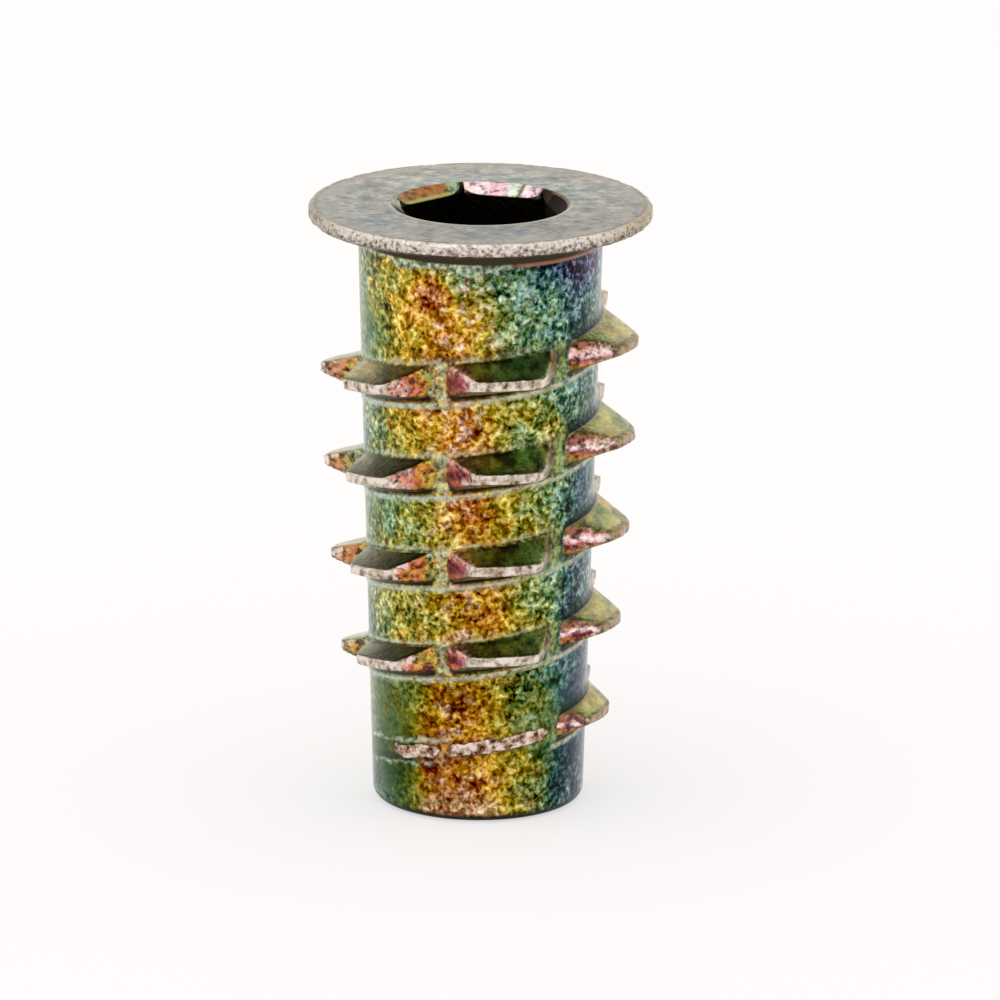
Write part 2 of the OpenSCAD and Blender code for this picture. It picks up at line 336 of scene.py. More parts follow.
finSteps = [
    ("onUpperSide", "FADE", "aboveFin", 0.4, 0.6),
    # flanks: thin film, khaki to the left and right, dark green where they face the front
    ("flankFilm", "RAMP", "placeTurn", [
        (0.12, "#A09462"), (0.26, "#B4A25C"), (0.31, "#948640"), (0.36, "#6C5A1C"), (0.41, "#544616"),
        (0.44, "#726024"), (0.47, "#5E7034"), (0.54, "#6A8048"), (0.57, "#6E6A2E"), (0.60, "#8E9050"),
        (0.66, "#B2A460"), (0.75, "#B4A468"), (0.9, "#98905A")]),
    ("flankPlace", "TINT", "place", (1.0, 0.4, 1.0)),
    ("mottleAway", "SUBTRACT", ("NOISE", "flankPlace", 1.7 / mm, 3.0, 0.65), 0.5),
    ("mottleReach", "RAMP", "placeTurn", [
        (0.3, 0.5), (0.42, 0.6), (0.44, 1.0), (0.56, 1.0), (0.59, 0.3), (0.75, 0.35)]),
    ("flankTone", "MAXIMUM", ("MULTIPLY_ADD", "mottleAway", ("MULTIPLY", "mottleReach", 8.5), 1.05), 0.25),
    ("flankHue", "RAMP", "blotch", [(0.4, "#F4E6CC"), (0.5, "#FFFFFF"), (0.6, "#D8F4DC")]),
    ("flankTinted", "TINT", ("TINT", "flankFilm", "flankTone"), "flankHue"),
    ("leftFlanks", "RAMP", "placeTurn", [(0.26, 0.0), (0.3, 0.55), (0.36, 0.88), (0.42, 0.88), (0.44, 0.0)]),
    ("greenPaint", "MULTIPLY", ("FADE", "placeHeight", 18.6, 16.5), "leftFlanks"),
    ("rootLineWhere", "RAMP", "placeTurn", [(0.55, 0.0), (0.59, 0.8), (0.7, 0.8), (0.76, 0.0)]),
    ("rootLinePaint", "PRODUCT", ("FADE", "finShare", 0.13, 0.09), "rootLineWhere", "onUpperSide"),
    ("flankLined", "PAINT", "rootLinePaint", ("PAINT", "greenPaint", "flankTinted", "#262C0A"), "#B8B296"),
    ("flank", "TINT", "flankLined", ("SPREAD", "speckNoise", 0.3, 0.7, 0.74, 1.22)),
    ("onFin", "FADE", "finShare", 0.02, 0.08),
    # strips between the fins, pale bands, and painted shade lines beside them
    ("stripColour", "RAMP", "placeTurn", [
        (0.36, "#B0B490"), (0.45, "#B4B890"), (0.55, "#8C9850"), (0.7, "#8E9C78")]),
    ("strip", "TINT", "stripColour", ("SPREAD", "worms", 0.33, 0.67, 0.35, 1.5)),
    ("withStrips", "PAINT", ("MULTIPLY", "gapStrip", 0.92), ("PAINT", "onFin", "body", "flank"), "strip"),
    ("bandNoise", "NOISE", "place", 2.1 / mm, 3.0, 0.65),
    ("bandWorn", "RAMP", "placeTurn", [(0.38, 0.04), (0.44, 0.0), (0.56, 0.0), (0.6, 0.05)]),
    ("bandShift", "ADD", ("MULTIPLY_ADD", "onUpperSide", -0.08, "bandNoise"), "bandWorn"),
    ("bandPaint", "MULTIPLY", "padRim", ("FADE", "bandShift", 0.38, 0.5, 0.25, 1.0)),
    ("bandTint", "RAMP", "placeTurn", [
        (0.3, "#C2CBBA"), (0.42, "#C4CAB0"), (0.5, "#C8C4A4"), (0.7, "#B8B89C")]),
    ("bandPale", "TINT", "bandTint", ("SPREAD", "speckNoise", 0.3, 0.6, 0.5, 1.1)),
    # painted shade: where the pale band lies above the right fins it is painted dark
    ("recess", "RAMP", "placeTurn", [(0.55, 0.0), (0.59, 0.95), (0.7, 0.95), (0.74, 0.0)]),
    ("bandColour", "PAINT", ("MULTIPLY", "onUpperSide", "recess"), "bandPale", "#1A261A"),
    # slanted ends: film grows towards the body, from pale pink through orange to green
    ("endDrift", "NOISE", "flankPlace", 1.35 / mm, 2.0, 0.6),
    ("endStretch", "RAMP", "placeTurn", [(0.26, 0.6), (0.32, 1.0), (0.55, 1.0), (0.58, 1.3)]),
    ("endPlace", "MULTIPLY_ADD", "endDrift", 1.5, ("MULTIPLY", "finShare", "endStretch")),
    ("endPlaceShare", "SUBTRACT", "endPlace", 0.72),
    ("endFresh", "RAMP", "endPlaceShare", [
        (0.04, "#A0B090"), (0.11, "#949044"), (0.24, "#C49C48"), (0.38, "#C28238"), (0.52, "#BC6844"),
        (0.64, "#C67C74"), (0.76, "#CCA490"), (0.9, "#DCC8B2")]),
    ("endRoot", "RAMP", "endPlaceShare", [
        (0.04, "#948A50"), (0.16, "#A86C3C"), (0.34, "#C47E7C"), (0.52, "#DCA69C"), (0.72, "#C88E70"),
        (0.9, "#C0A078")]),
    ("endWobble", "MULTIPLY_ADD", "endDrift", 0.5, "aboveFin"),
    # painted highlight: a white-pink streak across the right fins' ends
    ("endLayers", "RAMP", "endWobble", [
        (0.40, "#9C7A34"), (0.60, "#A8642E"), (0.69, "#5C2034"), (0.75, "#DC94A0"), (0.84, "#FFF0EE"),
        (0.95, "#CC9C90"), (1.0, "#6A4028")]),
    ("rightWhere", "RAMP", "placeTurn", [(0.56, 0.0), (0.58, 0.9), (0.68, 0.9), (0.72, 0.0)]),
    ("endBoth", "PAINT", "rightWhere", "endFresh", ("PAINT", 0.8, "endRoot", "endLayers")),
    # painted reflection: some ends seen edge on are painted a dull pale brown, as their grazing reflection
    # looks
    ("endDull", "RAMP", "placeTurn", [
        (0.1, 0.7), (0.2, 0.5), (0.28, 0.0), (0.518, 0.0), (0.53, 0.85), (0.555, 0.85), (0.57, 0.0),
        (0.70, 0.0), (0.74, 0.85)]),
    ("endPlum", "RAMP", "aboveFin", [
        (0.1, "#C07434"), (0.28, "#BC5C3C"), (0.46, "#7A2C46"), (0.62, "#B85C78"), (0.8, "#D89C8C")]),
    ("plumWhere", "RAMP", "placeTurn", [(0.408, 0.0), (0.415, 0.9), (0.452, 0.9), (0.46, 0.0)]),
    ("endFilm", "PAINT", "plumWhere", ("PAINT", "endDull", "endBoth", "#A08C62"), "endPlum"),
    ("endShade", "SPREAD", ("NOISE", "flankPlace", 4.2 / mm, 2.0, 0.6), 0.34, 0.6, 0.15, 1.5),
    # painted shade: the ends darken towards their lower edge
    ("endShaded", "TINT", "endFilm", ("MULTIPLY", "endShade", ("FADE", "aboveFin", 0.08, 0.26, 0.2, 1.0))),
    ("plumPaint", "FADE", ("NOISE", "flankPlace", 1.9 / mm, 1.0, 0.5), 0.60, 0.68, 0.0, 0.8),
    # painted highlights: white-pink glints on the ends, away from the root
    ("glintSpots", "FADE", ("NOISE", "flankPlace", 2.8 / mm, 2.0, 0.6), 0.52, 0.66, 0.0, 0.8),
    ("glintPaint", "MULTIPLY", "glintSpots", ("FADE", "finShare", 0.3, 0.6)),
    ("endColour", "PAINT", "glintPaint", ("PAINT", "plumPaint", "endShaded", "#4A1C30"), "#F6E0D8"),
    ("endPaint", "MULTIPLY", "endFace", "onFin"),
    ("withEnds", "PAINT", "endPaint", ("PAINT", "bandPaint", "withStrips", "bandColour"), "endColour"),
    # the strip above the right fins is painted dark as shade
    ("shadeWhere", "RAMP", "placeTurn", [(0.56, 0.0), (0.585, 0.95), (0.66, 0.9), (0.73, 0.0)]),
    ("shadePaint", "PRODUCT", "shadeStrip", "shadeWhere", ("SUBTRACT", 1.0, "onFin")),
    # painted shade: the dark line along each fin's root, and the dark strip above the right fins
    ("withShade", "PAINT", "shadePaint", ("PAINT", "darkRoot", "withEnds", "#2A1E0E"), "#16221E"),
    # crests: film rubbed through to pale metal, with dirt in the pits
    ("pits", "NOISE", "place", 3.3 / mm, 2.0, 0.6),
    ("crestMetal", "RAMP", "pits", [
        (0.29, "#54422F"), (0.37, "#A08C76"), (0.47, "#C8BAA8"), (0.6, "#EDE2D6")]),
    ("crestFilm", "RAMP", "placeTurn", [(0.3, 1.0), (0.56, 1.0), (0.62, 0.0), (0.75, 0.0), (0.82, 1.0)]),
    ("crest", "PAINT", "crestFilm", ("TINT", "crestMetal", "#CCB894"), "crestMetal"),
    ("edgeBreaks", "FADE", "bandNoise", 0.36, 0.64, 0.25, 0.85),
    ("edgePaint", "MULTIPLY", ("FADE", "finShare", 0.76, 0.84), "edgeBreaks"),
    ("cornerWear", "RAMP", "placeTurn", [(0.35, 0.1), (0.44, 0.16), (0.54, 0.16), (0.6, 0.0)]),
    ("onCrest", "FADE", ("MULTIPLY_ADD", "endFace", "cornerWear", "finShare"), 0.89, 0.95),
    ("withCrests", "PAINT", "onCrest", ("PAINT", "edgePaint", "withShade", "#4E3A22"), "crest"),
    # sheared fins: crumbled pinkish metal, with a dark ring of painted shade round each
    ("crumbs", "NOISE", "place", 2.9 / mm, 2.0, 0.65),
    ("broken", "RAMP", "crumbs", [
        (0.35, "#46281C"), (0.43, "#8E6450"), (0.52, "#BEA28E"), (0.62, "#EADCD0")]),
    ("withBrokenRims", "PAINT", ("FADE", "brokenShare", 0.05, 0.3, 0.0, 0.8), "withCrests", "#3C3220"),
    ("withBroken", "PAINT", ("FADE", "brokenShare", 0.35, 0.75), "withBrokenRims", "broken"),
]
flangeSteps = [
    # the top was ground across the mould's parting line: grey with faint streaks, beige where the film wore
    ("streaks", "NOISE", ("TINT", "place", (0.75, 1.0, 1.0)), 2.6 / mm, 3.0, 0.75),
    ("zonePlace", "MULTIPLY_ADD", "clusters", 0.5, ("NOISE", "place", 0.21 / mm, 3.0, 0.6)),
    ("streakTone", "SPREAD", "streaks", 0.3, 0.7, 0.44, 1.56),
    ("topStreaked", "TINT", ("PAINT", ("FADE", "zonePlace", 0.6, 0.9), "#909A94", "#A29A8A"), "streakTone"),
    # painted reflection: the top is darker towards the front and lighter towards the back
    ("topTone", "RAMP", "placeTurn", [
        (0.0, 1.0), (0.25, 0.88), (0.35, 0.8), (0.47, 0.67), (0.6, 0.67), (0.72, 0.87), (0.85, 1.0)]),
    ("topToned", "TINT", ("TINT", "topStreaked", ("SPREAD", "clusters", 0.3, 0.7, 0.58, 1.42)), "topTone"),
    ("edgeSpots", "FADE", "bandNoise", 0.40, 0.56),
    ("edgeWearPaint", "MULTIPLY", ("FADE", "radius", 5.3, 6.6, 0.0, 0.9), "edgeSpots"),
    ("lipWhere", "RAMP", "placeTurn", [(0.2, 0.0), (0.26, 1.0), (0.7, 1.0), (0.76, 0.0)]),
    ("lipBreaks", "FADE", "bandNoise", 0.34, 0.5, 0.4, 1.0),
    ("lipPaint", "PRODUCT", ("FADE", "radius", 3.8, 3.74), "lipWhere", "lipBreaks"),
    ("topLipped", "PAINT", "lipPaint", ("PAINT", "edgeWearPaint", "topToned", "#A89C8C"), "#BFB694"),
    ("groundOut", "FADE", "radius", 6.86, 6.78),
    ("groundPaint", "PRODUCT", ("FADE", "radius", 6.6, 6.67), "groundOut", 0.6, "edgeSpots"),
    ("top", "PAINT", "groundPaint", "topLipped", "#6E6054"),
    ("isTop", "FADE", "placeHeight", 24.75, 24.9),
    ("isFlange", "FADE", "placeHeight", 24.36, 24.39),
    # the flange's underside: the body's film dimmed, and its outer rounding painted dark brown as shade
    ("underside", "PAINT", ("FADE", "radius", 6.5, 6.65), ("TINT", "body", (0.85, 0.8, 0.7)), "#4A3E30"),
    ("withTop", "PAINT", "isTop", ("PAINT", "isFlange", "withBroken", "underside"), "top"),
    ("rimPlace", "SUBTRACT", "placeHeight", 24.7),
    ("rimDepth", "MULTIPLY_ADD", "rimPlace", 0.36, ("NOISE", "place", 6.4 / mm, 2.0, 0.6)),
    ("rimPits", "RAMP", "rimDepth", [
        (0.27, "#453A30"), (0.37, "#85796C"), (0.47, "#B8ABA0"), (0.62, "#E8DCD1")]),
    ("rimPaint", "MULTIPLY", ("FADE", "radius", 6.72, 6.86), ("FADE", "placeHeight", 24.46, 24.54)),
    ("rimWear", "RAMP", "placeTurn", [
        (0.26, "#C8C2AC"), (0.33, "#FFFFFF"), (0.58, "#FFFFFF"), (0.66, "#CFC8AC")]),
    ("withRim", "PAINT", "rimPaint", "withTop", ("TINT", "rimPits", "rimWear")),
    # a mint strip where the film pooled, then a dark ring of painted shade under the flange
    ("mintLow", "FADE", "placeHeight", 23.8, 23.6),
    ("mintWhere", "RAMP", "warpedTurn", [
        (0.25, 0.3), (0.32, 0.75), (0.42, 0.75), (0.47, 0.45), (0.52, 0.25), (0.56, 0.0)]),
    ("mintIn", "FADE", "radius", 5.3, 5.2),
    ("mintPaint", "PRODUCT", ("FADE", "warpedHeight", 23.22, 23.42), "mintLow", "mintWhere", "mintIn"),
    ("mint", "TINT", "#A4B8A4", ("SPREAD", "worms", 0.38, 0.62, 0.3, 1.5)),
    ("neckIn", "FADE", "radius", 5.6, 5.4),
    ("notFlange", "SUBTRACT", 1.0, "isFlange"),
    ("neckPaint", "PRODUCT", ("FADE", "placeHeight", 23.58, 23.7), "neckIn", "notFlange"),
    ("tanWhere", "RAMP", "placeTurn", [(0.5, 0.0), (0.53, 0.75), (0.66, 0.75), (0.72, 0.0)]),
    ("tanPaint", "PRODUCT", ("FADE", "placeHeight", 23.48, 23.54), "tanWhere", "neckIn", "notFlange"),
    ("withTan", "PAINT", "tanPaint", ("PAINT", "mintPaint", "withRim", "mint"), "#A8745A"),
    ("withNeck", "PAINT", "neckPaint", "withTan", "#3C3428"),
]
# film on the bevel of the socket's mouth, by bearing, with painted light: notches darkened at the corners as
# painted shade, brown sides, a pink back lightened with painted highlights
mouthFilmAndLightStops = [
    (0.000, "#2A2016"), (0.010, "#241C12"), (0.014, "#9DB08A"), (0.030, "#A8B88E"), (0.038, "#A06A3C"),
    (0.090, "#A8703C"), (0.165, "#9A7448"), (0.180, "#AEB890"), (0.212, "#9CA884"), (0.225, "#2A2014"),
    (0.240, "#8A7A58"), (0.500, "#C8BC9C"), (0.700, "#927450"), (0.740, "#7A5836"), (0.805, "#86603A"),
    (0.820, "#2A2412"), (0.842, "#20180E"), (0.848, "#F4D0D6"), (0.880, "#F6DEDC"), (0.886, "#3A3A1E"),
    (0.893, "#D0D8BC"), (0.912, "#E0E0D0"), (0.920, "#F0C4CC"), (0.945, "#F2BCC8"), (0.960, "#F6DCD6"),
    (0.985, "#F4CCD0"), (0.996, "#F0D4C4"),
]
socketSteps = [
    ("mouthFilm", "RAMP", "placeTurn", mouthFilmAndLightStops),
    ("mouthShade", "RAMP", "pits", [(0.36, 0.3), (0.46, 0.85), (0.6, 1.15)]),
    ("mouthLeft", "RAMP", "placeTurn", [(0.025, 0.0), (0.04, 0.8), (0.17, 0.8), (0.2, 0.0)]),
    ("mouthLine", "MULTIPLY", ("FADE", "placeHeight", 24.72, 24.64), "mouthLeft"),
    ("mouthLined", "PAINT", "mouthLine", ("TINT", "mouthFilm", "mouthShade"), "#A9B46A"),
    # painted shade: the front half of the bevel is painted near black below the lip
    ("mouthRight", "RAMP", "placeTurn", [(0.215, 0.0), (0.24, 0.95), (0.8, 0.95), (0.83, 0.0)]),
    ("mouthDark", "MULTIPLY", ("FADE", "placeHeight", 24.95, 24.89), "mouthRight"),
    ("deepShare", "FADE", "placeHeight", 24.62, 24.54),
    ("wallFilm", "TINT", "#8A7A48", ("SPREAD", "worms", 0.33, 0.67, 0.5, 1.5)),
    # painted shade: the socket's walls are near black below the bevel, turning to film only deep down
    ("walls", "PAINT", ("FADE", "placeHeight", 23.6, 20.0), "#1E170E", "wallFilm"),
    ("socket", "PAINT", "deepShare", ("PAINT", "mouthDark", "mouthLined", "#140E08"), "walls"),
    ("insidePaint", "MULTIPLY", ("FADE", "radius", 3.68, 3.6), ("FADE", "placeHeight", 0.2, 0.4)),
    # painted contact shade where the foot rests
    ("footDirt", "MULTIPLY", ("FADE", "placeHeight", 0.5, 0.16), ("FADE", "radius", 3.75, 3.95)),
    ("dirtPlace", "MAXIMUM", "insidePaint", "footDirt"),
    ("colour", "PAINT", "footDirt", ("PAINT", "insidePaint", "withNeck", "socket"), "#2A2013"),
]
# bare film shines most where it is seen edge on; the ground top, the inside and the painted shade at the foot
# and the mouth stay dull
glossSteps = [
    ("matt", "MULTIPLY_ADD", ("MAXIMUM", "isTop", "insidePaint"), -0.85, 1.0),
    ("gloss", "MULTIPLY", ("POWER", ("EDGEON", 0.5), 3.0), "matt"),
    ("dullHere", "MULTIPLY", ("MAXIMUM", "mouthDark", "footDirt"), "dirtPlace"),
    ("roughness", "MULTIPLY_ADD", "dullHere", 0.6, 0.32),
]


def buildChromate():
    # yellow chromate on die-cast zinc: a film whose colour drifts with its thickness, over a crumbly skin
    material = bpy.data.materials.new("yellowChromateOnCastZinc")
    material.use_nodes = True
    tree = material.node_tree
    tree.nodes.clear()
    known = {"place": addNode(tree, "ShaderNodeTexCoord").outputs["Object"]}
    addSteps(tree, known, [(mask, "MASK", mask) for mask in finMasks])
    addSteps(tree, known, [
        ("scattered", "MOVE", ("SCATTER", "place", 0.42 / mm, 3.0, 0.6), (-0.5, -0.5, -0.5)),
        ("warped", "SHIFT", "scattered", (1.8 * mm,) * 3, "place"),
    ])
    for spot in ("place", "warped"):
        addSteps(tree, known, [
            (spot, "SPLIT", spot),
            (spot + "Bearing", "ARCTAN2", spot + "X", ("MULTIPLY", spot + "Y", -1.0)),
            (spot + "Turn", "MULTIPLY_ADD", spot + "Bearing", 1 / math.tau, 0.5),
            (spot + "Height", "MULTIPLY", spot + "Z", 1 / mm),
        ])
    addSteps(tree, known, [
        ("radiusSquare", "MULTIPLY_ADD", "placeY", "placeY", ("MULTIPLY", "placeX", "placeX")),
        ("radius", "MULTIPLY", ("SQRT", "radiusSquare"), 1 / mm),
    ])
    for result, patches in skinPatches.items():
        addSteps(tree, known, patchSteps(result, patches))
    for steps in (filmSteps(), grainSteps, bodySteps, finSteps, flangeSteps, socketSteps, glossSteps):
        addSteps(tree, known, steps)
    bump = addNode(tree, "ShaderNodeBump", None, {
        "Height": known["grain"], "Strength": 0.6, "Distance": 0.05 * mm})
    shader = addNode(tree, "ShaderNodeBsdfPrincipled", None, {
        "Base Color": known["colour"], "Metallic": 1.0, "Roughness": known["roughness"],
        "Normal": bump.outputs["Normal"],
        "Coat Weight": known["gloss"], "Coat Roughness": 0.3, "Coat IOR": 1.7})
    addNode(tree, "ShaderNodeOutputMaterial", None, {"Surface": shader.outputs["BSDF"]})
    return material


chromate = buildChromate()
print("material built:", len(chromate.node_tree.nodes), "nodes")


def helicalSkin(name, sizes, rule, masks, turns, startTurn, rows):
    # one sheet wound round the axis: each row climbs a pitch in a turn and meets the row a pitch above
    tree = bpy.data.node_groups.new(name, "GeometryNodeTree")
    for size, value in sizes.items():
        entry = tree.interface.new_socket(name=size, in_out="INPUT", socket_type="NodeSocketFloat")
        entry.default_value = value
    tree.interface.new_socket(name="Geometry", in_out="OUTPUT", socket_type="NodeSocketGeometry")
    given = addNode(tree, "NodeGroupInput")
    grid = addNode(tree, "GeometryNodeMeshGrid", None, {
        "Size X": 1.0, "Size Y": 1.0, "Vertices X": body["columns"] + 1, "Vertices Y": turns * rows + 1})
    known = {size: given.outputs[size] for size in sizes}
    known["sheet"] = addNode(tree, "GeometryNodeInputPosition").outputs["Position"]
    opening = [
        ("sheet", "SPLIT", "sheet"),
        ("turnShare", "ADD", "sheetX", 0.5),
        ("bearing", "MULTIPLY", "turnShare", math.tau),
        ("climb", "MULTIPLY_ADD", ("ADD", "sheetY", 0.5), float(turns), float(startTurn)),
    ]
    closing = [
        ("metres", "MULTIPLY", "radius", mm),
        ("xPlace", "MULTIPLY", ("SINE", "bearing"), "metres"),
        ("yPlace", "MULTIPLY", ("MULTIPLY", ("COSINE", "bearing"), "metres"), -1.0),
        ("goal", "JOIN", "xPlace", "yPlace", ("MULTIPLY", "height", mm)),
    ]
    addSteps(tree, known, opening + rule + closing)
    stages = [("StoreNamedAttribute", {"data_type": "FLOAT", "domain": "POINT"}, {
        "Name": mask, "Value": known[mask]}) for mask in masks]
    stages += [
        ("SetPosition", None, {"Position": known["goal"]}),
        ("MergeByDistance", None, {"Distance": mergeGap}),
        ("RealizeInstances", None, {}),
        ("SetMaterial", None, {"Material": chromate}),
    ]
    flow = grid.outputs["Mesh"]
    for kind, settings, links in stages:
        flow = addNode(tree, "GeometryNode" + kind, settings, {"Geometry": flow, **links}).outputs["Geometry"]
    addNode(tree, "NodeGroupOutput", None, {"Geometry": flow})
    return tree


def runTree(tree, values):
    # the tree's result as a plain mesh
    holder = bpy.data.objects.new(tree.name + "Holder", bpy.data.meshes.new(tree.name))
    bpy.context.scene.collection.objects.link(holder)
    modifier = holder.modifiers.new(tree.name, "NODES")
    modifier.node_group = tree
    for entry in tree.interface.items_tree:
        if entry.item_type == "SOCKET" and entry.in_out == "INPUT" and entry.name in values:
            modifier[entry.identifier] = values[entry.name]
    evaluated = holder.evaluated_get(bpy.context.evaluated_depsgraph_get())
    mesh = bpy.data.meshes.new_from_object(evaluated)
    bpy.data.objects.remove(holder)
    return mesh


